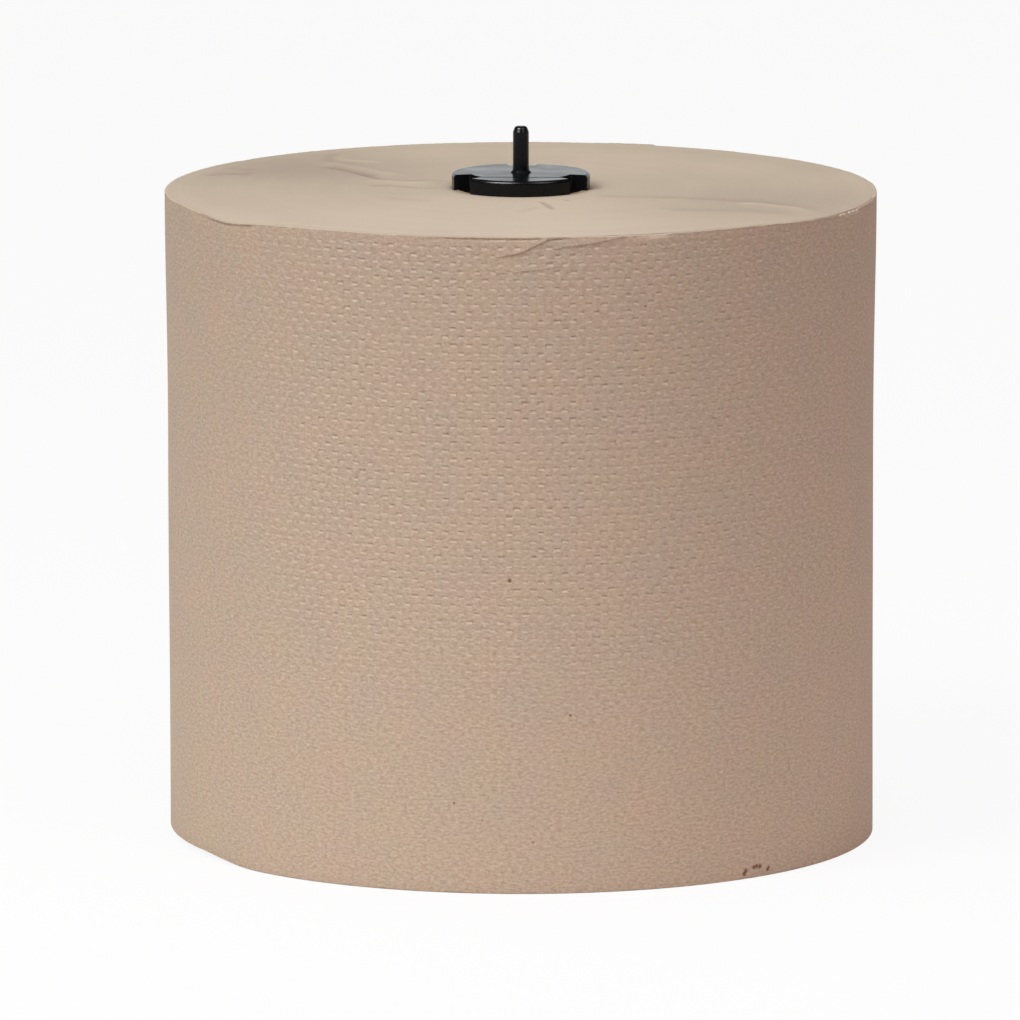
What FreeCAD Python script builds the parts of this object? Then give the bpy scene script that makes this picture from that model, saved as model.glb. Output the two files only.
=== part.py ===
# Kraft paper towel roll for a dispenser: the wound web, its cardboard core and a moulded end plug.
#
# Sizes are in millimetres. The roll stands on its lower end. The origin is the centre of that end,
# +Z runs up the roll's axis, and the front of the roll faces -Y. Each function makes one piece or
# one feature, and the pieces take their seats from each other's sizes.

import FreeCAD, Part
import math
import os

# Wound web
roll_width = 195.6
roll_diameter = 213.0
tail_step = 0.3  # how far the glued end of the web stands over the turn beneath it
tail_angle = 52.0  # where the web ends, in degrees from +X towards +Y, round at the back
rim_chamfer = 0.5  # the soft corner where a cut end meets the side
turn_bands = 6  # groups of turns that show as bands on the upper end
band_relief = 0.25  # how far the deepest band lies under the rim

# Cardboard core
core_bore = 38.1
core_wall = 1.6
core_lead_in = 1.0  # length of the slope up to the wall that the plug has spread

# Plug: flange
flange_lip = 0.15  # the flange reaches this far past the core
flange_height = 4.8
flange_round = 1.0
flange_plate = 2.2  # thickness of the flange's top wall
plateau_step = 0.08  # how far the flange's middle stands over its rim

# Plug: sleeve in the core
sleeve_length = 22.0
sleeve_wall = 1.8
sleeve_chamfer = 0.9
sleeve_gap = 0.35  # clearance between the sleeve and the core
grip_ribs = 12
grip_rib_width = 1.4
grip_bite = 0.2  # how far the grip ribs spread the core's wall

# Plug: notches in the flange
notch_count = 3
notch_angle = 28.0
notch_depth = 5.2
notch_wall = 1.6
notch_corner = 0.7
first_notch = -31.0  # direction of the first notch, in degrees from +X towards +Y

# Plug: spindle, and the hub and webs that carry it
spindle_diameter = 4.8
spindle_height = 14.0
spindle_tip_round = 1.1
spindle_tip_taper = 0.37  # how much the tip narrows before its round starts
spindle_tip_lean = 20.0  # slope of that taper, in degrees from the axis
root_diameter = 5.1
root_height = 2.4
root_chamfer = 0.7
hub_diameter = 8.4
hub_length = 9.0
hub_taper = 0.5
web_count = 6
web_thickness = 1.4
web_length = 7.0

# Places that the sizes above give
roll_radius = roll_diameter / 2
core_bore_radius = core_bore / 2
core_radius = core_bore_radius + core_wall
seat_radius = core_bore_radius + grip_bite
sleeve_radius = core_bore_radius - sleeve_gap
sleeve_bore_radius = sleeve_radius - sleeve_wall
sleeve_bottom = roll_width - sleeve_length
flange_radius = core_radius + flange_lip
flange_top = roll_width + flange_height
rim_top = flange_top - plateau_step
plate_bottom = flange_top - flange_plate
notch_radius = flange_radius - notch_depth
plateau_side = notch_radius * math.cos(math.radians(180 / notch_count - notch_angle / 2))

centre = FreeCAD.Vector(0, 0, 0)
axis = FreeCAD.Vector(0, 0, 1)


def polar(radius, angle, height=0.0):
    """The point at a radius and an angle in degrees from +X, at a height."""
    turn = math.radians(angle)
    return FreeCAD.Vector(radius * math.cos(turn), radius * math.sin(turn), height)


def arc(middle, radius, start, end):
    """The edge of an arc about a middle point, from one angle to another."""
    points = [middle + polar(radius, a) for a in (start, (start + end) / 2, end)]
    return Part.Arc(*points).toShape()


def line(start, end):
    """The edge of a straight run."""
    return Part.LineSegment(start, end).toShape()


def side_point(radius, height):
    """A point of a turned profile, which is drawn in the XZ plane."""
    return FreeCAD.Vector(radius, 0, height)


def turned(edges):
    """The solid of revolution of a closed profile about the roll's axis."""
    face = Part.Face(Part.Wire(edges))
    return face.revolve(centre, axis, 360)


def turned_polygon(points):
    """The solid of revolution of a profile of straight runs, given as radius and height."""
    corners = [side_point(radius, height) for radius, height in points]
    edges = [line(a, b) for a, b in zip(corners, corners[1:] + corners[:1])]
    return turned(edges)


def rounded_corner(outer, top, radius, lean=0.0):
    """The arc that rounds the outer top corner of a turned profile.

    The wall that it rounds leans inwards by an angle, and has its outer radius where the arc starts.
    """
    sideways = radius * math.cos(math.radians(lean))
    middle = side_point(outer - sideways, top - radius)
    points = []
    for angle in (lean, (lean + 90) / 2, 90):
        turn = math.radians(angle)
        points.append(middle + side_point(radius * math.cos(turn), radius * math.sin(turn)))
    return Part.Arc(*points).toShape()


def ring_sector(inner, outer, spread, bottom, height):
    """A block between two radii, spread about +X by an angle, with radial sides."""
    half = spread / 2
    low = FreeCAD.Vector(0, 0, bottom)
    edges = [
        arc(low, inner, -half, half),
        line(polar(inner, half, bottom), polar(outer, half, bottom)),
        arc(low, outer, half, -half),
        line(polar(outer, -half, bottom), polar(inner, -half, bottom)),
    ]
    return Part.Face(Part.Wire(edges)).extrude(FreeCAD.Vector(0, 0, height))


def around(shape, count, first=0.0):
    """Copies of a shape, spaced evenly round the axis."""
    copies = []
    for i in range(count):
        copy = shape.copy()
        copy.rotate(centre, axis, first + i * 360 / count)
        copies.append(copy)
    return copies


def web_outline():
    """The last turn of the web, seen along the axis.

    The turn is a spiral of four quarter arcs. Their centres step round a small square, so each
    arc runs smoothly on from the one before and is smaller by a quarter of the tail's step.
    A short radial run, the cut end of the web, closes the outline.
    """
    quarter_step = tail_step / 4
    middle = centre
    radius = roll_radius
    edges = []
    for quarter in range(4):
        start = tail_angle + 90 * quarter
        edges.append(arc(middle, radius, start, start + 90))
        middle = middle + polar(quarter_step, start + 90)
        radius = radius - quarter_step
    edges.append(line(polar(roll_radius - tail_step, tail_angle), polar(roll_radius, tail_angle)))
    return Part.Wire(edges)


def top_profile():
    """Radius and depth of the upper cut end, from the core to the rim.

    Groups of turns lie at slightly different depths, as they do when a roll is wound and handled.
    The turns at the core and the last band are level with the rim.
    """
    band = (roll_radius - core_radius) / turn_bands
    golden = 0.618
    points = [(core_radius, 0.0)]
    for i in range(1, turn_bands - 1):
        depth = band_relief * ((i * golden) % 1.0)
        points.append((core_radius + i * band, depth))
    points.append((roll_radius - band, 0.0))
    points.append((roll_radius - rim_chamfer, 0.0))
    return points


def paper_roll():
    """The wound web as one solid: the last turn's outline, between its two cut ends.

    The lower end is level, because the roll stands on it.
    """
    prism = Part.Face(web_outline()).extrude(FreeCAD.Vector(0, 0, roll_width))
    overshoot = 1.0
    beyond = roll_radius + overshoot
    slope = rim_chamfer + overshoot
    lower = [(core_radius, 0.0), (roll_radius - rim_chamfer, 0.0), (beyond, slope)]
    upper = [(radius, roll_width - depth) for radius, depth in top_profile()]
    blank = turned_polygon(lower + [(beyond, roll_width - slope)] + upper[::-1])
    return prism.common(blank)


def core_tube():
    """The cardboard tube, spread a little at its top where the plug is pressed in."""
    spread_from = sleeve_bottom - core_lead_in
    return turned_polygon([
        (core_bore_radius, 0.0),
        (core_radius, 0.0),
        (core_radius, roll_width),
        (seat_radius, roll_width),
        (seat_radius, sleeve_bottom),
        (core_bore_radius, spread_from),
    ])


def plug_shell():
    """The flange's cap and the sleeve under it, turned as one cup that opens downwards."""
    points = [
        side_point(flange_radius - flange_round, rim_top),
        side_point(0, rim_top),
        side_point(0, plate_bottom),
        side_point(sleeve_bore_radius, plate_bottom),
        side_point(sleeve_bore_radius, sleeve_bottom),
        side_point(sleeve_radius - sleeve_chamfer, sleeve_bottom),
        side_point(sleeve_radius, sleeve_bottom + sleeve_chamfer),
        side_point(sleeve_radius, roll_width),
        side_point(flange_radius, roll_width),
        side_point(flange_radius, rim_top - flange_round),
    ]
    edges = [line(a, b) for a, b in zip(points, points[1:])]
    return turned(edges + [rounded_corner(flange_radius, rim_top, flange_round)])


def plateau():
    """The raised middle of the flange. Its sides run straight from notch to notch."""
    corner_reach = plateau_side / math.cos(math.radians(180 / notch_count))
    corners = [
        polar(corner_reach, first_notch + i * 360 / notch_count, plate_bottom)
        for i in range(notch_count)
    ]
    outline = Part.makePolygon(corners + corners[:1])
    block = Part.Face(outline).extrude(FreeCAD.Vector(0, 0, flange_plate))
    disc = Part.makeCylinder(flange_radius - flange_round, flange_height, side_point(0, roll_width))
    return block.common(disc)


def grip_rib():
    """One of the ribs outside the sleeve that bite into the core, with a sloped start."""
    overlap = sleeve_wall / 2
    inner = sleeve_radius - overlap
    slope = 2 * (seat_radius - sleeve_radius)
    start = sleeve_bottom + sleeve_chamfer
    ring = turned_polygon([
        (inner, start),
        (sleeve_radius, start),
        (seat_radius, start + slope),
        (seat_radius, roll_width),
        (inner, roll_width),
    ])
    corner = FreeCAD.Vector(0, -grip_rib_width / 2, start)
    slab = Part.makeBox(seat_radius + 1, grip_rib_width, roll_width - start, corner)
    return ring.common(slab)


def notch_pocket():
    """The walls and floor that close a notch off from the hollow under the flange."""
    inner = notch_radius - notch_wall
    wall_angle = math.degrees(notch_wall / notch_radius)
    bottom = roll_width - notch_wall
    return ring_sector(
        inner, sleeve_radius, notch_angle + 2 * wall_angle, bottom, rim_top - flange_round - bottom
    )


def notch_cut():
    """The space of a notch, with rounded inner corners, from the flange's seat to above its top."""
    cutter = ring_sector(
        notch_radius, flange_radius + 1, notch_angle, roll_width, flange_height + 1
    )
    corners = []
    for edge in cutter.Edges:
        upright = abs(edge.tangentAt(edge.FirstParameter).z) > 0.99
        middle = edge.CenterOfMass
        if upright and math.hypot(middle.x, middle.y) < (notch_radius + flange_radius) / 2:
            corners.append(edge)
    return cutter.makeFillet(notch_corner, corners)


def hub():
    """The tapered boss under the flange that carries the spindle."""
    top = hub_diameter / 2
    return turned_polygon([
        (0, plate_bottom),
        (0, plate_bottom - hub_length),
        (top - hub_taper, plate_bottom - hub_length),
        (top, plate_bottom),
    ])


def stiffening_web():
    """One of the webs from the hub out to the sleeve."""
    length = sleeve_bore_radius + sleeve_wall / 2
    corner = FreeCAD.Vector(0, -web_thickness / 2, plate_bottom - web_length)
    return Part.makeBox(length, web_thickness, web_length, corner)


def spindle():
    """The spindle that turns in the dispenser: a tapered root, a plain journal and a round tip."""
    radius = spindle_diameter / 2
    root = root_diameter / 2
    foot = root + root_chamfer
    anchor = flange_top - flange_plate / 2
    top = flange_top + spindle_height
    tip = rounded_corner(radius - spindle_tip_taper, top, spindle_tip_round, spindle_tip_lean)
    tip_start = tip.Vertexes[0].Point
    tip_end = tip.Vertexes[-1].Point
    taper_length = spindle_tip_taper / math.tan(math.radians(spindle_tip_lean))
    points = [
        tip_end,
        side_point(0, top),
        side_point(0, anchor),
        side_point(foot, anchor),
        side_point(foot, flange_top),
        side_point(root, flange_top + root_chamfer),
        side_point(radius, flange_top + root_height),
        side_point(radius, tip_start.z - taper_length),
        tip_start,
    ]
    edges = [line(a, b) for a, b in zip(points, points[1:])]
    return turned(edges + [tip])


def end_plug():
    """The plug as one moulding."""
    pieces = [plateau(), hub(), spindle()]
    pieces += around(grip_rib(), grip_ribs, first_notch + 180 / grip_ribs)
    pieces += around(stiffening_web(), web_count, first_notch + 180 / web_count)
    pieces += around(notch_pocket(), notch_count, first_notch)
    body = plug_shell().multiFuse(pieces)
    body = body.cut(Part.makeCompound(around(notch_cut(), notch_count, first_notch)))
    return body.removeSplitter()


def export(name, shape):
    """Writes one piece, and says how big it is."""
    solid = shape.Solids[0]
    solid.exportStep(os.path.join("parts", name + ".step"))
    box = solid.optimalBoundingBox(False)
    print(
        f"{name}: {len(shape.Solids)} solid, valid {solid.isValid()}, volume {solid.Volume:.1f}, "
        f"{box.XLength:.2f} x {box.YLength:.2f} x {box.ZLength:.2f}, from z {box.ZMin:.2f}"
    )


os.makedirs("parts", exist_ok=True)
export("paper_roll", paper_roll())
export("core_tube", core_tube())
export("end_plug", end_plug())
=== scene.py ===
# %% [markdown]
# # A kraft paper towel roll
#
# The object is a wide roll of brown, embossed hand towel for a dispenser. It stands on its end,
# with a glossy black plug pressed into the top of its cardboard core. The construction comes as a
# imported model: three nodes at their real size, with the roll's axis on Z and its front facing -Y.
#
# This lesson dresses them. The web is made flat, embossed while it is flat, and only then rolled
# up, which is what the factory does and is also the easy way to give a cylinder a pattern of pits.

# %% Load the frame
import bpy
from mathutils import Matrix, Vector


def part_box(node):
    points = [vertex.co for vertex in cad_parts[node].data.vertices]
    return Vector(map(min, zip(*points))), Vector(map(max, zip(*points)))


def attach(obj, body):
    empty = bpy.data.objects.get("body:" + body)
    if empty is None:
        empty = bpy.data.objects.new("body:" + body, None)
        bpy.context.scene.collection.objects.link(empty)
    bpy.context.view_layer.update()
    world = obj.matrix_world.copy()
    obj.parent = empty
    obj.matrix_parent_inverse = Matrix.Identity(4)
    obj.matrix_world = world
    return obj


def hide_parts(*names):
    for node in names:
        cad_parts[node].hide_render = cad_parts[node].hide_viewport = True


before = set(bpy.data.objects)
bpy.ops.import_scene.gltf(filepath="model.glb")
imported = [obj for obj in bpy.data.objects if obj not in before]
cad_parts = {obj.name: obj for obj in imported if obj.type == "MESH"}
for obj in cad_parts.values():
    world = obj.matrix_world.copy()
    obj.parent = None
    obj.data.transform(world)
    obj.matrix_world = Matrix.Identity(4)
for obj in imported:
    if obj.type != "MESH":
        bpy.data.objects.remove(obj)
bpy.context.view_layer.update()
print("nodes:", sorted(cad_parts))

# %% [markdown]
# ## Sizes
#
# Every size is in metres. The big ones are read from the frame, so that the dressed pieces always
# fit the construction. Directions round the roll are given in degrees from the front, positive
# towards the right, because that is how the photograph shows them.

# %% Sizes from the frame
import math
import random
import bpy
import bmesh
from mathutils import Vector, noise

mm = 0.001
roll_low, roll_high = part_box("paper_roll")
roll_width = roll_high.z - roll_low.z
roll_radius = roll_high.y
core_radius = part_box("core_tube")[1].x
web_length = 2 * math.pi * roll_radius
tail_step = 0.3 * mm
tail_from_front = 142.0
print(f"roll {2000 * roll_radius:.1f} mm across, {1000 * roll_width:.1f} mm wide")


def blend(low, high, value):
    """A soft step from 0 at low to 1 at high."""
    share = min(1.0, max(0.0, (value - low) / (high - low)))
    return share * share * (3 - 2 * share)


def bump(value, middle, reach):
    """A soft hill: 1 at its middle, fading to almost nothing a reach away."""
    return math.exp(-((value - middle) / (0.5 * reach)) ** 2)


def stretch(place, start, full, fading, end):
    """A part of a way: 0 before its start, 1 from full to fading, and 0 after its end."""
    return blend(start, full, place) * (1 - blend(fading, end, place))


# %% [markdown]
# ## Materials first
#
# Paper is dull, slightly fuzzy and never one colour: fibres of several browns lie along the web,
# and the pulp is denser in some patches than in others. A material that is read from the sheet's
# own UV map, in metres of web, keeps those fibres lying along the web after it is rolled up.

# %% Helpers that add nodes
def set_inputs(node, inputs):
    """Gives a node's inputs their values, or links them to the outputs of other nodes."""
    for key, value in inputs.items():
        if isinstance(value, bpy.types.NodeSocket):
            node.id_data.links.new(value, node.inputs[key])
        else:
            node.inputs[key].default_value = value


def adder(tree):
    """A function that adds nodes to a node tree."""
    def add(kind, inputs=None, **settings):
        node = tree.nodes.new(kind)
        for key, value in settings.items():
            setattr(node, key, value)
        set_inputs(node, inputs or {})
        return node

    return add


def new_material(name):
    """A material with nothing but its shader, the shader, and a function that adds nodes."""
    material = bpy.data.materials.new(name)
    material.use_nodes = True
    tree = material.node_tree
    return material, tree.nodes["Principled BSDF"], adder(tree)


# %% Helpers for numbers in a node tree
def calculated(add, how, one, other=0.0):
    """The result of a sum on one or two values."""
    return add("ShaderNodeMath", {0: one, 1: other}, operation=how).outputs[0]


def remap(add, value, low, high, new_low=0.0, new_high=1.0):
    """A value moved from one range to another, and held inside it."""
    inputs = {
        "Value": value, "From Min": low, "From Max": high, "To Min": new_low, "To Max": new_high,
    }
    return add("ShaderNodeMapRange", inputs).outputs["Result"]


def grain(add, source, scale, detail, roughness):
    """The value of a noise texture, 0.5 on average, scaled differently along each axis."""
    place = add("ShaderNodeMapping", {"Vector": source, "Scale": scale}).outputs["Vector"]
    inputs = {"Vector": place, "Scale": 1.0, "Detail": detail, "Roughness": roughness}
    return add("ShaderNodeTexNoise", inputs).outputs["Fac"]


def relief(add, height, strength, depth):
    """The normal of a surface with a fine relief."""
    inputs = {"Height": height, "Strength": strength, "Distance": depth}
    return add("ShaderNodeBump", inputs).outputs["Normal"]


# %% Helpers for colours in a node tree
def linear(red, green, blue):
    """A colour as a screen shows it, 0 to 255, turned into the light values that shaders use."""
    channels = []
    for value in (red, green, blue):
        share = value / 255
        channels.append(share / 12.92 if share <= 0.04045 else ((share + 0.055) / 1.055) ** 2.4)
    return (*channels, 1.0)


white = linear(255, 255, 255)


def mixed(add, share, one, other, how="MIX"):
    """Two colours mixed by a share."""
    node = add("ShaderNodeMix", {0: share, 6: one, 7: other}, data_type="RGBA", blend_type=how)
    return node.outputs[2]


def graded(add, value, low, high, one, other):
    """A colour that goes from one to the other while a value goes from low to high."""
    return mixed(add, remap(add, value, low, high), one, other)


def tinted(add, colour, *tints):
    """A colour multiplied by one tint after the other."""
    for tint in tints:
        colour = mixed(add, 1.0, colour, tint, "MULTIPLY")
    return colour


# %% Directions and places on the web
def from_front(along):
    """Degrees from the front, -180 to 180, of a place along the web."""
    angle = tail_from_front + 360 * along / web_length
    return (angle + 180) % 360 - 180


def along_at(angle):
    """The place along the web that ends up at an angle from the front."""
    return ((angle - tail_from_front) % 360) / 360 * web_length


# %% Marks in the paper
# Recycled pulp holds bits of bark and ink. Each has its degrees from the front, its millimetres
# above the foot, its size in millimetres and its colour.
bark = linear(126, 92, 66)
speck = linear(122, 98, 82)
marks = [
    (38.4, 1.7, 1.4, bark), (38.7, 2.5, 1.3, bark), (40.4, 3.2, 1.3, bark), (41.0, 3.4, 1.3, bark),
    (41.7, 3.2, 1.4, bark), (43.4, 1.9, 1.2, bark), (43.7, 2.5, 0.9, bark),
    (20.0, 174.4, 0.7, speck), (-1.8, 93.9, 1.1, speck), (7.8, 53.4, 0.8, speck),
    (-10.8, 27.0, 0.7, speck), (1.8, 15.5, 0.6, speck), (-6.3, 22.1, 0.45, speck),
    (-96.0, 121.0, 1.1, speck), (118.0, 64.0, 1.3, bark), (171.0, 150.0, 1.0, speck),
]


# %% The embossed side of the web
def towel_side_paper():
    """Unbleached towel, with its fibres along the web and a fine speckle."""
    material, shader, add = new_material("towel_side_paper")
    sheet = add("ShaderNodeUVMap", uv_map="web").outputs["UV"]
    rosy = grain(add, sheet, (62, 48, 1), 4.0, 0.6)
    dull = grain(add, sheet, (75, 60, 3), 1.0, 0.5)
    fibres = grain(add, sheet, (520, 1400, 1), 3.0, 0.6)
    speckle = grain(add, sheet, (950, 1300, 1), 3.0, 0.6)
    up_web = add("ShaderNodeSeparateXYZ", {"Vector": sheet}).outputs["Y"]
    pulp = graded(add, rosy, 0.36, 0.64, linear(215, 191, 171), linear(211, 192, 171))
    colour = tinted(
        add, pulp,
        graded(add, dull, 0.36, 0.64, linear(254, 254, 252), linear(252, 252, 255)),
        # Darker towards the upper end of the web: painted shade, so that the side looks brighter
        # near the foot.
        graded(add, up_web, 15 * mm, 190 * mm, white, linear(231, 229, 229)),
        graded(add, fibres, 0.3, 0.7, linear(226, 223, 220), white),
        graded(add, speckle, 0.3, 0.7, linear(226, 223, 219), white),
    )
    # The attribute read here paints a highlight on each pit's lower lip, where the lower wall
    # catches the light; at the rim it also makes torn spots paler, as torn paper is.
    lip_highlight_and_tear = add("ShaderNodeAttribute", attribute_name="lip_highlight_and_tear").outputs["Fac"]
    colour = mixed(add, lip_highlight_and_tear, colour, linear(234, 218, 202))
    for angle, up, size, stain in marks:
        spot = (along_at(angle), up * mm, 0.0)
        away = add("ShaderNodeVectorMath", {0: sheet, 1: spot}, operation="DISTANCE")
        inside = remap(add, away.outputs["Value"], 0.35 * size * mm, 0.65 * size * mm, 1.0, 0.0)
        ragged = calculated(add, "MULTIPLY", inside, remap(add, speckle, 0.35, 0.6, 0.8, 1.0))
        colour = mixed(add, ragged, colour, stain)
    fuzz = calculated(add, "ADD", fibres, speckle)
    set_inputs(shader, {
        "Base Color": colour,
        "Roughness": 0.92,
        "Specular IOR Level": 0.15,
        "Sheen Weight": 0.08,
        "Sheen Roughness": 0.35,
        "Normal": relief(add, fuzz, 0.35, 0.06 * mm),
    })
    return material


# %% The cut ends of the web
def towel_end_paper():
    """Hundreds of cut edges side by side: paler than the face, with faint rings."""
    material, shader, add = new_material("towel_end_paper")
    place = add("ShaderNodeTexCoord").outputs["Object"]
    flat = add("ShaderNodeVectorMath", {0: place, 1: (1, 1, 0)}, operation="MULTIPLY")
    radius = add("ShaderNodeVectorMath", {0: flat.outputs["Vector"]}, operation="LENGTH")
    ring = add("ShaderNodeCombineXYZ", {"X": radius.outputs["Value"]}).outputs["Vector"]
    fine_rings = grain(add, ring, (900, 1, 1), 3.0, 0.7)
    wide_rings = grain(add, ring, (110, 1, 1), 2.0, 0.6)
    cloudy = grain(add, place, (16, 16, 1), 3.0, 0.5)
    pulp = graded(add, cloudy, 0.35, 0.65, linear(190, 176, 158), linear(197, 183, 164))
    colour = tinted(
        add, pulp,
        graded(add, fine_rings, 0.3, 0.7, linear(249, 248, 247), white),
        graded(add, wide_rings, 0.35, 0.65, linear(252, 251, 251), white),
    )
    # The attribute read here is painted shading: where it is positive it paints shade, along the
    # folds, on wide patches and on the ring beside the core; where it is negative it paints light.
    painted_shading = add("ShaderNodeAttribute", attribute_name="painted_shading").outputs["Fac"]
    colour = graded(add, painted_shading, 0, 1, colour, linear(150, 134, 122))
    colour = graded(add, painted_shading, 0, -1, colour, linear(222, 208, 190))
    set_inputs(shader, {
        "Base Color": colour,
        "Roughness": 0.95,
        "Specular IOR Level": 0.1,
        "Normal": relief(add, fine_rings, 0.35, 0.05 * mm),
    })
    return material


# %% Cardboard
strip_width = 60 * mm
seam_share = 0.02


def core_cardboard():
    """Grey-brown board with the faint spiral of the strips that a core is wound from."""
    material, shader, add = new_material("core_cardboard")
    place = add("ShaderNodeTexCoord").outputs["Object"]
    parts = add("ShaderNodeSeparateXYZ", {"Vector": place}).outputs
    angle = calculated(add, "ARCTAN2", parts["Y"], parts["X"])
    turns_round = calculated(add, "MULTIPLY", angle, 1 / (2 * math.pi))
    strips_up = calculated(add, "MULTIPLY", parts["Z"], 1 / strip_width)
    spiral = calculated(add, "ADD", turns_round, strips_up)
    seam = remap(add, calculated(add, "FRACT", spiral), 0.0, seam_share)
    fibres = grain(add, place, (600, 600, 900), 3.0, 0.6)
    plain = graded(add, fibres, 0.3, 0.7, linear(150, 128, 104), linear(172, 149, 123))
    set_inputs(shader, {
        "Base Color": mixed(add, seam, linear(112, 92, 72), plain),
        "Roughness": 0.9,
        "Specular IOR Level": 0.15,
        "Normal": relief(add, fibres, 0.4, 0.1 * mm),
    })
    return material


# %% Plastic
def plug_plastic():
    """Glossy black moulded plastic, a little uneven where the melt has flowed and shrunk."""
    material, shader, add = new_material("plug_plastic")
    place = add("ShaderNodeTexCoord").outputs["Object"]
    flow = grain(add, place, (90, 90, 90), 2.0, 0.5)
    dust = grain(add, place, (1400, 1400, 1400), 2.0, 0.6)
    set_inputs(shader, {
        "Base Color": graded(add, dust, 0.45, 0.75, linear(11, 12, 14), linear(18, 18, 21)),
        "Roughness": remap(add, flow, 0.3, 0.7, 0.19, 0.27),
        "Specular IOR Level": 0.17,
        "Normal": relief(add, flow, 0.1, 0.15 * mm),
    })
    return material


# %% Make the four materials
paper_side = towel_side_paper()
paper_end = towel_end_paper()
board = core_cardboard()
plastic = plug_plastic()
print("materials:", [m.name for m in (paper_side, paper_end, board, plastic)])

# %% [markdown]
# ## The last turns: a sheet, embossed flat
#
# The web carries rows of small pits, each row shifted by half a pitch. Making them one by one on a
# cylinder would be slow and fiddly. On a flat grid they are easy: the bands between rows are
# plain, and in the rows every other cell gets an inset that is pushed in. No two pits are alike:
# each is a little narrower, shallower or further over than the next, and towards the foot and at
# two sides they fade away. Each pit's lower lip gets a painted highlight, noted in an attribute,
# for the light that its lower wall catches. Each corner's place on the flat web goes into a UV map
# just before the sheet is rolled up.

# %% The lattice of pits
pits_round = 142
pit_rows = 68
foot_bands = 10
row_pitch = 2.42 * mm
top_margin = 2.6 * mm
pit_height = 1.25 * mm
pit_slope = 0.36 * mm
pit_depth = 0.29 * mm
pit_rise = 0.05 * mm
# How strong the painted highlight on a pit's lower lip is at most.
lip_highlight = 0.35
faintest_pit = 0.1
rim_round = 0.25 * mm
foot_round = 0.45 * mm
wrap_thickness = 0.9 * mm
columns = 2 * pits_round
# Extra lines close to the upper rim, by how far they lie under it.
rim_lines = [1.7 * mm, 1.1 * mm, 0.75 * mm, 0.5 * mm]


def band_heights():
    """Heights of the lines that part the grid into bands, from the lower rim to the upper one."""
    first = roll_width - top_margin - (pit_rows - 1) * row_pitch - pit_height
    heights = [foot_round + (first - foot_round) * band / foot_bands for band in range(foot_bands)]
    for row in range(pit_rows):
        heights += [first + row * row_pitch, first + row * row_pitch + pit_height]
    heights += [roll_width - down for down in rim_lines]
    heights.append(roll_width - rim_round)
    return heights


heights = band_heights()
bands = len(heights) - 1
print(f"{pits_round * pit_rows} pits in {pit_rows} rows, {bands} bands")


def emboss_strength(along, height):
    """How deep the pits are pressed here: patchy, worn at two sides, and fading to the foot."""
    patch = noise.noise(Vector((along / (22 * mm), height / (15 * mm), 3.7)))
    ragged = noise.noise(Vector((along / (14 * mm), height / (12 * mm), 9.4)))
    angle = from_front(along)
    worn = 0.85 * blend(28, 62, abs(angle - 2)) * (1 - blend(100, 125, abs(angle)))
    return (1.0 + 0.3 * patch) * (1 - worn) * blend(20 * mm, 98 * mm, height + 14 * mm * ragged)


# %% Emboss the flat sheet
def flat_sheet():
    """The grid, at its true size, with its pits pressed in. X is along the web and Y up it."""
    bm = bmesh.new()
    bmesh.ops.create_grid(bm, x_segments=columns, y_segments=bands, size=0.5)
    cells = []
    for face in bm.faces:
        middle = face.calc_center_median()
        column = int((middle.x + 0.5) * columns)
        row, plain = divmod(int((middle.y + 0.5) * bands) - foot_bands, 2)
        if 0 <= row < pit_rows and not plain and (column + row) % 2 == 0:
            cells.append(face)
    for vert in bm.verts:
        vert.co.x = (vert.co.x + 0.5) * web_length
        vert.co.y = heights[round((vert.co.y + 0.5) * bands)]
    pits = {}
    for face in cells:
        middle = face.calc_center_median()
        strength = emboss_strength(middle.x, middle.y) * random.uniform(0.65, 1.15)
        if strength > faintest_pit:
            pits[face] = strength
    bmesh.ops.inset_individual(bm, faces=list(pits), thickness=pit_slope, use_even_offset=True)
    lip_highlight_and_tear = bm.verts.layers.float.new("lip_highlight_and_tear")
    for face, strength in pits.items():
        middle = face.calc_center_median()
        narrow = random.uniform(0.5, 0.95)
        shift = Vector((random.uniform(-0.2, 0.2) * mm, random.uniform(-0.07, 0.07) * mm, 0))
        for vert in face.verts:
            # The lower corners of each pit get the painted highlight.
            if vert.co.y < middle.y:
                vert[lip_highlight_and_tear] = lip_highlight * min(1.0, strength)
            vert.co.x = middle.x + narrow * (vert.co.x - middle.x)
            vert.co += shift + Vector((0, pit_rise, -pit_depth * strength))
    print(f"{len(pits)} pits pressed")
    return bm


random.seed(11)
sheet = flat_sheet()
print("flat sheet:", len(sheet.faces), "faces")

# %% [markdown]
# ## Creases
#
# The outer turns have been handled. By the front of the upper rim three creases run down to the
# left, and a faint one lies near the foot. At a crease the paper laps a little over itself: it
# rises towards the line and then drops sharply, which throws the thin shadow that makes a crease
# read. The grid is too coarse for that, so the cells around each crease are cut finer first, twice.

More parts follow.
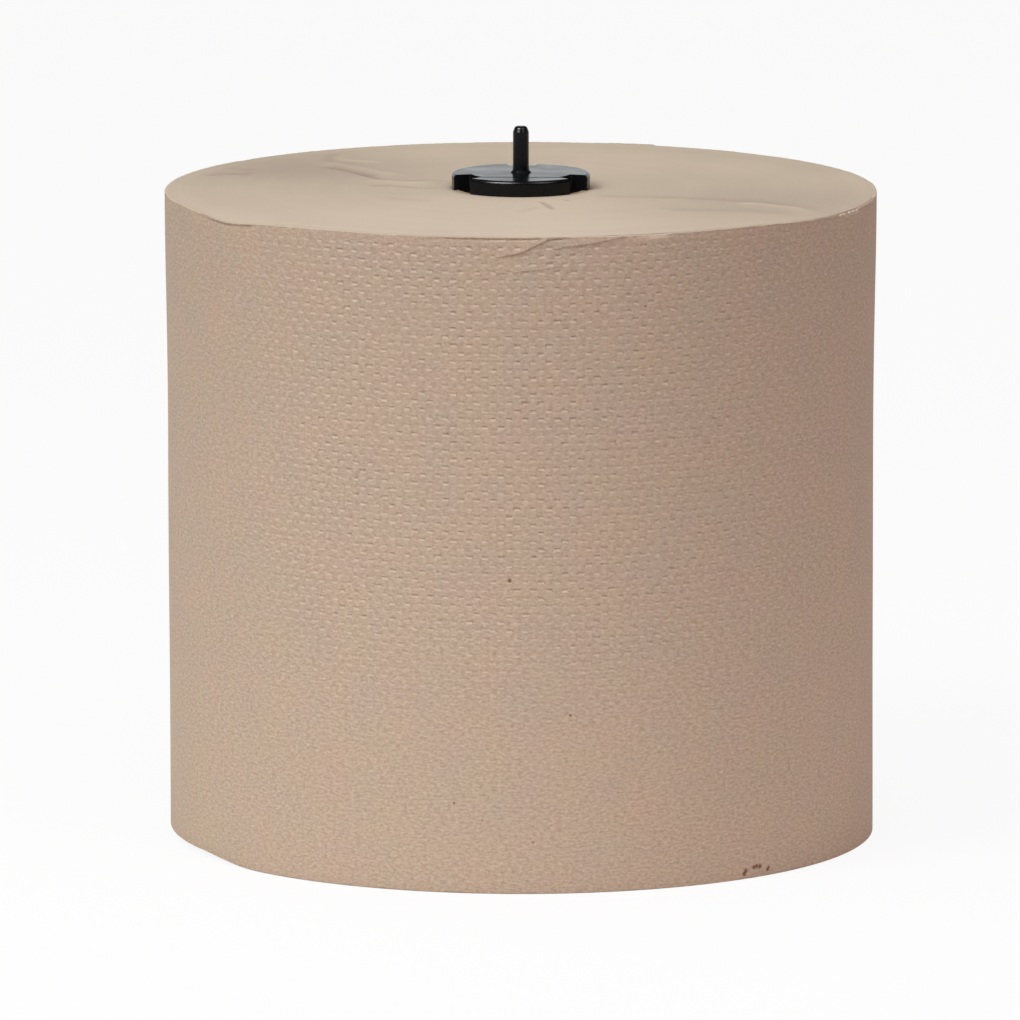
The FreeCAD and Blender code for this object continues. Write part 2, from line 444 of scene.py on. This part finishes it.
# %% The creases' runs
# Each crease is a run of places, as degrees from the front and millimetres above the foot.
creases = {
    "upper": [
        (7.1, 195.7), (4.3, 195.1), (3.0, 194.0), (0.3, 191.5), (-1.9, 190.3), (-4.2, 189.7),
        (-5.8, 189.5),
    ],
    "middle": [
        (17.5, 195.6), (15.1, 195.0), (11.8, 193.9), (7.7, 193.0), (4.8, 192.0), (3.0, 191.4),
    ],
    "lower": [
        (8.4, 187.5), (5.6, 186.8), (2.6, 186.0), (-2.1, 185.1), (-6.6, 184.6), (-9.0, 184.4),
    ],
    "foot": [(-6.0, 7.4), (-4.0, 8.6), (-2.6, 9.2)],
}
crease_height = {"upper": 0.45 * mm, "middle": 0.32 * mm, "lower": 0.15 * mm, "foot": 0.2 * mm}
crease_reach = 1.3 * mm
crease_drop = 0.16 * mm
crease_fading = 2.5 * mm
crease_end = 5 * mm
# How far from a crease the cells are cut finer, once wide and once close to it.
finer_within = [2.4 * mm, 0.8 * mm]


def crease_points(name):
    """A crease's run on the flat sheet."""
    return [Vector((along_at(angle), up * mm)) for angle, up in creases[name]]


def signed_distance(point, run):
    """How far a point lies above a run of points, and how far along it, as a share."""
    best = (1.0, 0.0)
    for index, (a, b) in enumerate(zip(run, run[1:])):
        side = b - a
        share = min(1.0, max(0.0, (point - a).dot(side) / side.length_squared))
        gap = point - (a + side * share)
        above = -math.copysign(1.0, side.x * gap.y - side.y * gap.x)
        if gap.length < abs(best[0]):
            best = (above * gap.length, (index + share) / (len(run) - 1))
    return best


# %% Press the creases
def near_run(point, run, reach):
    for side in (0, 1):
        places = [corner[side] for corner in run]
        if not min(places) - reach < point[side] < max(places) + reach:
            return False
    return abs(signed_distance(point, run)[0]) < reach


def cut_finer(bm, reach):
    """Cuts the edges within reach of any crease in three."""
    near = []
    for name in creases:
        run = crease_points(name)
        for edge in bm.edges:
            middle = (edge.verts[0].co + edge.verts[1].co) / 2
            if near_run(middle.xy, run, reach):
                near.append(edge)
    bmesh.ops.subdivide_edges(bm, edges=list(set(near)), cuts=2, use_grid_fill=True)


def lap(distance):
    """A crease's height, at most 1, at a distance above its line: a slope, then a sharp drop."""
    if distance > 0:
        return math.exp(-distance / crease_reach)
    hollow = 0.25 * (1 - math.exp(distance / crease_drop))
    return math.exp(-((distance / crease_drop) ** 2)) - hollow


def press_creases(bm):
    """Lifts the paper above each crease's line and lets it fall below."""
    for reach in finer_within:
        cut_finer(bm, reach)
    for name in creases:
        run = crease_points(name)
        for vert in bm.verts:
            if not near_run(vert.co.xy, run, crease_end):
                continue
            distance, share = signed_distance(vert.co.xy, run)
            fade = min(1.0, 3 * share + 0.3) * (1 - blend(0.6, 1.0, share))
            fade *= 1 - blend(crease_fading, crease_end, abs(distance))
            vert.co.z += crease_height[name] * fade * lap(distance)


press_creases(sheet)
print("with creases:", len(sheet.faces), "faces")

# %% [markdown]
# ## The rims, the inner side and the rolling up
#
# The sheet stands for the last few turns together, so it gets a little thickness: its border is
# extruded up over the rim and inwards, and the two inner borders are bridged. Then the whole thing
# is bent round the axis. Its two ends don't meet: the web's tail lies over the turn below it, and
# the small step between them is bridged too, so the piece stays closed.


# %% Cut the upper rim finer
def cut_rim_finer(bm):
    """Gives the upper rim the short cells that a frayed edge needs."""
    third_line = roll_width - rim_lines[2]
    half_a_cell = web_length / columns / 2
    along_rim = []
    for edge in bm.edges:
        one, other = (vert.co for vert in edge.verts)
        if min(one.y, other.y) > third_line - 0.01 * mm and abs(one.x - other.x) > half_a_cell:
            along_rim.append(edge)
    bmesh.ops.subdivide_edges(bm, edges=along_rim, cuts=3, use_grid_fill=True)


cut_rim_finer(sheet)
print("with a finer rim:", len(sheet.faces), "faces")


# %% Turn the borders over
# The steps that round a rim off: how far out over the rim and how far inwards, in millimetres.
upper_steps = [(0.16, -0.06), (0.09, -0.14)]
lower_steps = [(0.25, -0.08), (0.20, -0.27)]


def border(bm, top):
    """The edges along the upper or the lower border of the sheet."""
    level = max(v.co.y for v in bm.verts) if top else min(v.co.y for v in bm.verts)
    found = []
    for edge in bm.edges:
        if edge.is_boundary and all(abs(v.co.y - level) < 0.1 * rim_round for v in edge.verts):
            found.append(edge)
    return found


def turn_over(bm, top):
    """Extrudes a border round the rim and inwards, and gives the new border's edges."""
    up = 1 if top else -1
    steps = upper_steps if top else lower_steps
    moves = [Vector((0, up * over * mm, inward * mm)) for over, inward in steps]
    moves.append(Vector((0, 0, -wrap_thickness)))
    edges = border(bm, top)
    for move in moves:
        made = bmesh.ops.extrude_edge_only(bm, edges=edges)["geom"]
        verts = [g for g in made if isinstance(g, bmesh.types.BMVert)]
        edges = [
            g for g in made
            if isinstance(g, bmesh.types.BMEdge) and g.verts[0] in verts and g.verts[1] in verts
        ]
        bmesh.ops.translate(bm, vec=move, verts=verts)
    return edges


upper_edges = turn_over(sheet, True)
lower_edges = turn_over(sheet, False)
bmesh.ops.bridge_loops(sheet, edges=upper_edges + lower_edges)
print("with rims:", len(sheet.faces), "faces")


# %% The wall and the foot of the roll
def rim_share(height, reach, full=0.0):
    """1 at the upper rim and as far as full under it, fading to 0 at a reach under it."""
    return blend(roll_width - reach, roll_width - full, height)


def foot_share(height, reach):
    """1 at the foot, fading to 0 at a reach above it."""
    return 1 - blend(0.0, reach, height)


def wall_lean(height):
    """The outer turns stand out a little towards the upper end."""
    return 0.7 * mm * blend(0.55, 1.0, height / roll_width) ** 2


def slid_down(angle):
    """How far the outer turns have slid down at the rim: most at the left, some at the right."""
    left = 1.9 * mm * bump(angle, -55, 19) + 0.35 * mm * blend(62, 80, -angle)
    right = mm * blend(36, 62, angle) * (1.15 - 0.82 * blend(76, 100, angle))
    return left + right


def pushed_up(angle):
    """How far the outer turns are pushed up at the foot, where the roll was set down hard."""
    return 1.85 * mm * stretch(angle, -112, -92, -65, -48)


# %% The upper rim
def rim_drop(angle):
    """How far the last turns lie under the upper end, round the rim."""
    wander = 0.07 * mm * (0.3 + noise.noise(Vector((angle / 9, 0.3, 1.9))))
    front = 0.12 * mm * stretch(angle, -16, -11, 1.5, 4.5)
    corner = 0.28 * mm * (1 - blend(157.5, 171, angle)) if angle > 157.5 else 0.0
    return max(0.0, wander) + slid_down(angle) + front - corner


def rim_groove(angle):
    """How deep the hollow under the upper rim is, which shows as a dark line."""
    uneven = 0.75 + 0.5 * noise.noise(Vector((angle / 2.3, 6.1, 2.8)))
    left = 0.9 * mm * stretch(angle, -65, -59, -50, -44)
    front = 0.85 * mm * stretch(angle, -15, -10, 2.0, 3.5) + 1.2 * mm * bump(angle, 5.9, 2.8)
    right = 0.12 * mm * blend(13, 17, angle) + 0.22 * mm * blend(26, 36, angle)
    return uneven * (left + front + right * (1 - blend(66, 84, angle)))


# Places where the upper rim is torn: degrees from the front, width in degrees, and how badly.
tears = [
    (14.6, 1.4, 0.25), (17.2, 1.2, 0.3), (19.6, 1.6, 0.4), (21.4, 1.3, 0.6), (23.0, 1.6, 0.5),
    (62.8, 1.2, 0.9), (64.3, 1.3, 0.4), (66.0, 1.2, 1.2), (67.8, 1.4, 0.7), (69.6, 1.2, 1.1),
    (-34.5, 1.2, 0.12), (-21.0, 1.6, 0.1), (-128, 2.0, 0.5), (101, 1.8, 0.4), (-171, 1.5, 0.3),
]


def rim_tear(angle):
    """How badly the upper rim is torn here, and by how much this place differs from the next."""
    fine = noise.noise(Vector((angle * 1.9, 5.1, 0.4)))
    return sum(badly * bump(angle, at, width) for at, width, badly in tears), fine


# %% Roll it up
# How deep and wide the groove under the rim lies.
groove_down = 0.6 * mm
groove_width = 0.75 * mm
# How pale a torn spot gets at most, and how far under the rim it is pale.
palest_tear = 0.45
pale_reach = 1.7 * mm
pale_full = 0.8 * mm
# How far under the rim the edge is frayed, and the turns have slid.
fray_reach = 1.2 * mm
slide_reach = 7 * mm
# How far above the foot the paper is pushed up, and the whole wall stands over to the right.
push_reach = 11 * mm
shift_reach = 110 * mm
foot_shift = 0.3 * mm
# How far the wall swells and sinks, in soft waves.
softness = 0.12 * mm


def note_places(bm):
    """Notes each corner's place on the flat web in a UV map."""
    layer = bm.loops.layers.uv.new("web")
    for face in bm.faces:
        for loop in face.loops:
            loop[layer].uv = (loop.vert.co.x, loop.vert.co.y - loop.vert.co.z)


def roll_up(bm):
    """Bends the sheet round the axis, and gives it its groove, torn rim, slid turns and foot."""
    lip_highlight_and_tear = bm.verts.layers.float["lip_highlight_and_tear"]
    for vert in bm.verts:
        along, height, out = vert.co
        shown = from_front(along)
        hollow = rim_groove(shown) * bump(roll_width - height, groove_down, groove_width)
        tear, fine = rim_tear(shown)
        pale = min(palest_tear, tear * (0.6 + fine)) * rim_share(height, pale_reach, pale_full)
        # Torn spots at the rim are paler paper, noted in the same attribute as the pits' painted
        # lip highlight.
        vert[lip_highlight_and_tear] = max(vert[lip_highlight_and_tear], pale)
        fray = rim_share(height, fray_reach) * (0.06 * fine + 0.5 * tear) * mm
        height -= fray + rim_share(height, slide_reach) * rim_drop(shown)
        height += foot_share(height, push_reach) * pushed_up(shown)
        soft = softness * noise.noise(Vector((along / (45 * mm), height / (60 * mm), 8.2)))
        outer = out > 0.1 * mm - wrap_thickness
        radius = roll_radius - tail_step * along / web_length + out
        radius += wall_lean(height) - hollow + (soft if outer else 0.0)
        turn = math.radians(tail_from_front + 360 * along / web_length - 90)
        vert.co = Vector((radius * math.cos(turn), radius * math.sin(turn), height))
        vert.co.x += foot_shift * foot_share(height, shift_reach)


def close_tail(bm):
    """Bridges the two open ends of the rolled sheet, which stand a step apart at the tail."""
    edges = [e for e in bm.edges if e.is_boundary]
    bmesh.ops.bridge_loops(bm, edges=edges)
    left = sum(1 for e in bm.edges if not e.is_manifold)
    print("tail closed, open edges left:", left)


note_places(sheet)
roll_up(sheet)
close_tail(sheet)


# %% A finished piece from a bmesh
def finished_piece(name, bm, materials, sharp_over=50.0):
    """A mesh object at the origin, shaded smooth but for its sharp edges."""
    bmesh.ops.recalc_face_normals(bm, faces=bm.faces)
    for face in bm.faces:
        face.smooth = True
    for edge in bm.edges:
        if len(edge.link_faces) == 2:
            edge.smooth = edge.calc_face_angle() < math.radians(sharp_over)
    mesh = bpy.data.meshes.new(name)
    bm.to_mesh(mesh)
    bm.free()
    for material in materials:
        mesh.materials.append(material)
    piece = bpy.data.objects.new(name, mesh)
    bpy.context.scene.collection.objects.link(piece)
    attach(piece, "root")
    triangles = sum(len(p.vertices) - 2 for p in mesh.polygons)
    print(f"{name}: {triangles} triangles")
    return piece


# %% Tell the side of the sheet from its cut edges and its inner wall
steep = 0.8
end_zone = 1 * mm


def choose_paper(bm):
    """Gives the cut edges and the inner wall the paper of the ends, and the rest the side's."""
    bmesh.ops.recalc_face_normals(bm, faces=bm.faces)
    for face in bm.faces:
        middle = face.calc_center_median()
        at_end = not end_zone < middle.z < roll_width - end_zone
        faces_in = face.normal.xy.dot(middle.xy) < -0.5 * middle.xy.length
        face.material_index = 1 if faces_in or (at_end and abs(face.normal.z) > steep) else 0


choose_paper(sheet)
last_turns = finished_piece(
    "last_turns", sheet, [paper_side, paper_end], sharp_over=38.0
)

# %% [markdown]
# ## The wound turns and their ends
#
# Inside the last turns lie hundreds more, of which only the cut edges show. The end is almost
# flat, but tension in the web has left it with soft folds that run from the rim towards the core,
# and groups of turns that slid a little. A profile is spun round the axis to get a fine net of
# rings, and then the net is lifted and lowered by simple formulas.

# %% Spin the wound turns
gap_to_sheet = 0.15 * mm
wound_radius = roll_radius - wrap_thickness - gap_to_sheet
end_rings = 56


def wound_profile(bm):
    """Half a section through the wound turns: core, upper end, outer side, lower end."""
    first = bm.verts.new((core_radius, 0, 0))
    last = first
    places = [(core_radius, roll_width)]
    for ring in range(1, end_rings + 1):
        radius = core_radius + (wound_radius - core_radius) * ring / end_rings
        places.append((radius, roll_width))
    places += [(radius, 0.0) for radius, _ in reversed(places[1:])]
    edges = []
    for radius, height in places:
        vert = bm.verts.new((radius, 0, height))
        edges.append(bm.edges.new((last, vert)))
        last = vert
    edges.append(bm.edges.new((last, first)))
    return edges


def wound_turns_mesh():
    """The profile, spun into a closed ring-shaped body."""
    bm = bmesh.new()
    edges = wound_profile(bm)
    geom = edges + list(bm.verts)
    bmesh.ops.spin(
        bm, geom=geom, cent=(0, 0, 0), axis=(0, 0, 1), angle=2 * math.pi, steps=columns,
        use_merge=True,
    )
    bmesh.ops.remove_doubles(bm, verts=bm.verts, dist=0.001 * mm)
    return bm


# %% Folds in the cut ends
# Each fold is a run of places on the upper end, in millimetres to the right of the axis and behind
# it. Then come its width, how far it stands up (or, if negative, lies down), and how much shade is
# painted along it (or, if negative, how much light), which makes it darker or paler.
# Those that stand up come back in the lower end, mirrored, as hollows that are half as deep.
folds = [
    ([(-59.5, 49), (-54, 42), (-48, 33), (-43, 27)], 4.0, -0.5, 0.40),
    ([(-62, 58), (-52, 47), (-43, 35), (-34, 26)], 5.0, 0.36, -0.14),
    ([(-51, 38), (-42, 21), (-33, 18), (-27, 20), (-21, 14)], 3.6, -0.6, 0.40),
    ([(-47, 16), (-40, 13), (-33, 10), (-24, 8)], 4.0, 0.4, -0.20),
    ([(-46, 5), (-39, 7), (-30, 1), (-21, 1)], 3.6, -0.6, 0.42),
    ([(-56, 74), (-55, 63), (-46, 58), (-40, 56)], 3.0, 0.4, -0.25),
    ([(-57, 80), (-58, 62), (-47, 53)], 4.0, -0.4, 0.25),
    ([(-96, 27), (-90, 33), (-84, 31), (-80, 36)], 4.5, -0.3, 0.25),
    ([(-90, 46), (-84, 41), (-78, 43)], 3.5, -0.25, 0.2),
    ([(-40, -19), (-32, -24), (-24, -27)], 6.0, -0.4, 0.12),
    ([(21, -16), (35, -17), (48, -19), (72, -28), (96, -54)], 7.5, -0.42, 0.22),
    ([(64, -33), (72, -37), (80, -43), (88, -54)], 3.4, 0.36, -0.36),
    ([(40, -44), (55, -46), (70, -48), (84, -58)], 9.0, -0.4, 0.16),
    ([(6, -29), (8, -37), (10, -49)], 1.8, -0.5, 0.7),
    ([(-1, -54), (3, -46), (6, -40)], 2.2, -0.3, 0.25),
    ([(13, -24), (15, -30)], 2.0, -0.3, 0.35),
    ([(30, 92), (24, 60), (20, 30)], 8.0, 0.3, 0.0),
    ([(-10, 95), (-6, 60), (-4, 30)], 9.0, -0.3, 0.06),
]
# Wide, soft patches of painted shade, or of painted light where the tone is negative, in the same
# millimetres: their middle, width and tone.
patches = [
    ((-66, 42), 80, 0.55), ((74, -30), 82, 0.40), ((-12, -78), 90, -0.16), ((-20, 92), 100, -0.08),
]


def fold_effect(place):
    """What the folds add to the height of a place on the end, in metres, and what they and the wide
    patches add to its painted shading.
    """
    height = 0.0
    tone = 0.0
    for run, width, lift, painted_shading in folds:
        points = [Vector(corner) * mm for corner in run]
        if not near_run(place, points, 1.5 * width * mm):
            continue
        distance, share = signed_distance(place, points)
        hill = bump(distance, 0.0, width * mm) * stretch(share, 0.0, 0.15, 0.75, 1.0)
        height += lift * mm * hill
        tone += painted_shading * hill
    for middle, width, shade in patches:
        tone += shade * bump((place - Vector(middle) * mm).length, 0.0, width * mm)
    return height, tone


# %% Lift and lower the cut ends
def ring_height(angle, radius):
    """Groups of turns that slid: soft rings, which fade in and out round the roll."""
    spiral = radius + 9 * mm * angle / 360
    slow = noise.noise(Vector((spiral / (8.5 * mm), 0.2, 7.7)))
    fine = noise.noise(Vector((spiral / (1.9 * mm), 4.4, 2.2)))
    patch = 0.5 + 0.5 * noise.noise(Vector((math.sin(math.radians(angle)), radius * 30, 1.1)))
    return 0.04 * mm * slow + 0.02 * mm * fine * patch


def rim_shadow(angle):
    """How far the outermost wound turns dip beside the last turns, round the rim."""
    left = 0.2 * mm * stretch(angle, -64, -58, -50, -44)
    return 0.02 * mm + left


# How far the upper end stands out, how far inside the rim the folds begin to fade and are gone,
# how far in the slid turns are felt, and how wide the dip beside the last turns is.
end_lift = 0.05 * mm
fold_fading = 12 * mm
fold_end = 2 * mm
slide_inward = 14 * mm
dip_width = 2.4 * mm


def shape_ends(bm):
    """Moves the rings of both ends, and notes their painted shading.

    The innermost ring stays on the core, and gets full painted shade: at the upper end it is the
    shadow under the plug's flange.
    """
    layer = bm.verts.layers.float.new("painted_shading")
    for vert in bm.verts:
        radius = vert.co.xy.length
        if radius < core_radius + 0.1 * mm:
            # Full painted shade on the ring beside the core.
            vert[layer] = 1.0
            continue
        angle = math.degrees(math.atan2(vert.co.x, -vert.co.y))
        top = vert.co.z > roll_width / 2
        place = vert.co.xy if top else Vector((-vert.co.x, vert.co.y))
        # The folds and the wide patches give this place its painted shading.
        folded, vert[layer] = fold_effect(place)
        inside = 1 - blend(roll_radius - fold_fading, roll_radius - fold_end, radius)
        lift = folded * inside + ring_height(angle, radius)
        outer = blend(roll_radius - slide_inward, roll_radius, radius)
        dip = bump(radius, wound_radius, dip_width) * rim_shadow(angle)
        outward = ((radius - core_radius) / (wound_radius - core_radius)) ** 6
        spiral = ((angle - tail_from_front) % 360) / 360
        grown = radius + outward * (wall_lean(vert.co.z) - tail_step * spiral)
        vert.co.xy *= grown / radius
        if top:
            vert.co.z += lift - dip + end_lift - outer * slid_down(angle)
        else:
            vert.co.z = max(0.0, 0.5 * (lift + dip)) + outer * pushed_up(angle)


wound = wound_turns_mesh()
shape_ends(wound)
wound_turns = finished_piece("wound_turns", wound, [paper_end])
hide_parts("paper_roll")
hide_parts("paper_roll")


# %% [markdown]
# ## Core and plug
#
# Both keep the shape that the construction gives them, and only get their finish here.

# %% Dress the core and the plug
def dress(node, material):
    """Gives a node of the frame one material."""
    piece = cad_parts[node]
    piece.data.materials.clear()
    piece.data.materials.append(material)


dress("core_tube", board)
dress("end_plug", plastic)

# %% [markdown]
# ## The studio
#
# The roll stands on a pale floor in front of a white background. Through the Light Path node only
# the camera sees that white, so it adds no light to the paper. The plug is glossy and shows its
# surroundings: a bright wall behind, a dim room in front, and two high windows that are there for
# the reflections alone.


# %% Floor
glow_share = 0.9


def studio_floor():
    """A wide pale disc under the roll."""
    bm = bmesh.new()
    bmesh.ops.create_circle(bm, cap_ends=True, segments=96, radius=4.0)
    mesh = bpy.data.meshes.new("floor")
    bm.to_mesh(mesh)
    bm.free()
    floor = bpy.data.objects.new("floor", mesh)
    bpy.context.scene.collection.objects.link(floor)
    return floor


def floor_material():
    """White paint that the camera sees as nearly pure white, with the roll's shadow kept."""
    material, shader, add = new_material("studio_floor")
    set_inputs(shader, {
        "Base Color": (0.87, 0.83, 0.83, 1), "Roughness": 1.0, "Specular IOR Level": 0.0,
    })
    path = add("ShaderNodeLightPath").outputs
    seen = calculated(add, "MAXIMUM", path["Is Camera Ray"], path["Is Glossy Ray"])
    seen = calculated(add, "MAXIMUM", seen, path["Is Transmission Ray"])
    share = calculated(add, "MULTIPLY", seen, glow_share)
    glow = add("ShaderNodeEmission", {"Color": (1, 1, 1, 1), "Strength": 1.0})
    mix = add("ShaderNodeMixShader", {0: share, 1: shader.outputs[0], 2: glow.outputs[0]})
    set_inputs(material.node_tree.nodes["Material Output"], {"Surface": mix.outputs[0]})
    return material


floor = studio_floor()
floor.data.materials.append(floor_material())


# %% World
def studio_world():
    """Soft light from all round, more from above, and what the camera and gloss see."""
    world = bpy.data.worlds.new("studio")
    bpy.context.scene.world = world
    world.use_nodes = True
    world.node_tree.nodes.clear()
    add = adder(world.node_tree)
    direction = add("ShaderNodeTexCoord").outputs["Generated"]
    parts = add("ShaderNodeSeparateXYZ", {"Vector": direction}).outputs
    path = add("ShaderNodeLightPath").outputs
    sky = remap(add, parts["Z"], 0.0, 1.0, 0.46, 0.70)
    tint = graded(add, parts["X"], -0.3, 0.9, (0.99, 1.0, 0.985, 1), (1.0, 0.83, 0.83, 1))
    ambient = add("ShaderNodeBackground", {"Color": tint, "Strength": sky})
    behind = remap(add, parts["Y"], -0.1, 0.7, 0.02, 1.08)
    low = remap(add, parts["Z"], 0.18, 0.42, 1.0, 0.04)
    wall = calculated(add, "MULTIPLY", behind, low)
    mirrored = add("ShaderNodeBackground", {"Color": (0.95, 0.98, 1.0, 1), "Strength": wall})
    blank = add("ShaderNodeBackground", {"Color": (1, 1, 1, 1), "Strength": 1.0})
    glossy = add("ShaderNodeMixShader", {
        0: path["Is Glossy Ray"], 1: ambient.outputs[0], 2: mirrored.outputs[0],
    })
    seen = calculated(add, "MAXIMUM", path["Is Camera Ray"], path["Is Transmission Ray"])
    final = add("ShaderNodeMixShader", {0: seen, 1: glossy.outputs[0], 2: blank.outputs[0]})
    add("ShaderNodeOutputWorld", {"Surface": final.outputs[0]})


studio_world()


# %% Lamps
def soft_box(name, angle, elevation, distance, size, watts, colour=(1.0, 1.0, 1.0)):
    """A square lamp that looks at the roll, at an angle from the front."""
    light = bpy.data.lights.new(name, "AREA")
    light.color = colour
    light.shape = "SQUARE"
    light.size = size
    light.energy = watts
    lamp = bpy.data.objects.new(name, light)
    turn = math.radians(angle)
    rise = math.radians(elevation)
    aim = Vector((0, 0, roll_width * 0.6))
    away = Vector((
        math.sin(turn) * math.cos(rise), -math.cos(turn) * math.cos(rise), math.sin(rise),
    ))
    lamp.location = aim + away * distance
    lamp.rotation_euler = (-away).to_track_quat("-Z", "Y").to_euler()
    bpy.context.scene.collection.objects.link(lamp)
    return lamp


soft_box("key_softbox", -50, 41, 1.6, 0.6, 11.3, (0.97, 1.0, 0.99))
soft_box("fill_softbox", 46, 39, 1.6, 0.4, 2.0, (1.0, 0.86, 0.85))
front = soft_box("front_softbox", -8, 58, 0.6, 0.3, 0.55)
front.visible_glossy = False
for name, angle, watts in (("left_window", -40, 62), ("right_window", 46, 12)):
    window = soft_box(name, angle, 51, 1.6, 0.8, watts)
    window.visible_diffuse = False


# %% [markdown]
# ## Camera
#
# The photograph was taken from far away with a long lens, from just above the roll's upper end.
# The camera looks at the middle of the roll, and a small shift puts that where the photograph does.

# %% Camera
image_side = 1020
camera_elevation = 9.28
camera_distance = 35.46 * roll_radius
focal_pixels = 12504
middle_pixel = (520.9, 508.8)

camera_data = bpy.data.cameras.new("camera")
camera_data.sensor_width = 36.0
camera_data.lens = focal_pixels * camera_data.sensor_width / image_side
camera_data.shift_x = (image_side / 2 - middle_pixel[0]) / image_side
camera_data.shift_y = (middle_pixel[1] - image_side / 2) / image_side
camera_data.clip_start = 0.1
camera_data.clip_end = 50.0
camera = bpy.data.objects.new("camera", camera_data)
rise = math.radians(camera_elevation)
back = Vector((0, -math.cos(rise), math.sin(rise)))
camera.location = Vector((0, 0, roll_width / 2)) + back * camera_distance
camera.rotation_euler = (-back).to_track_quat("-Z", "Y").to_euler()
bpy.context.scene.collection.objects.link(camera)
bpy.context.scene.camera = camera
bpy.context.scene.view_settings.view_transform = "Standard"
print(f"camera {camera_distance:.2f} m away, lens {camera_data.lens:.0f} mm")
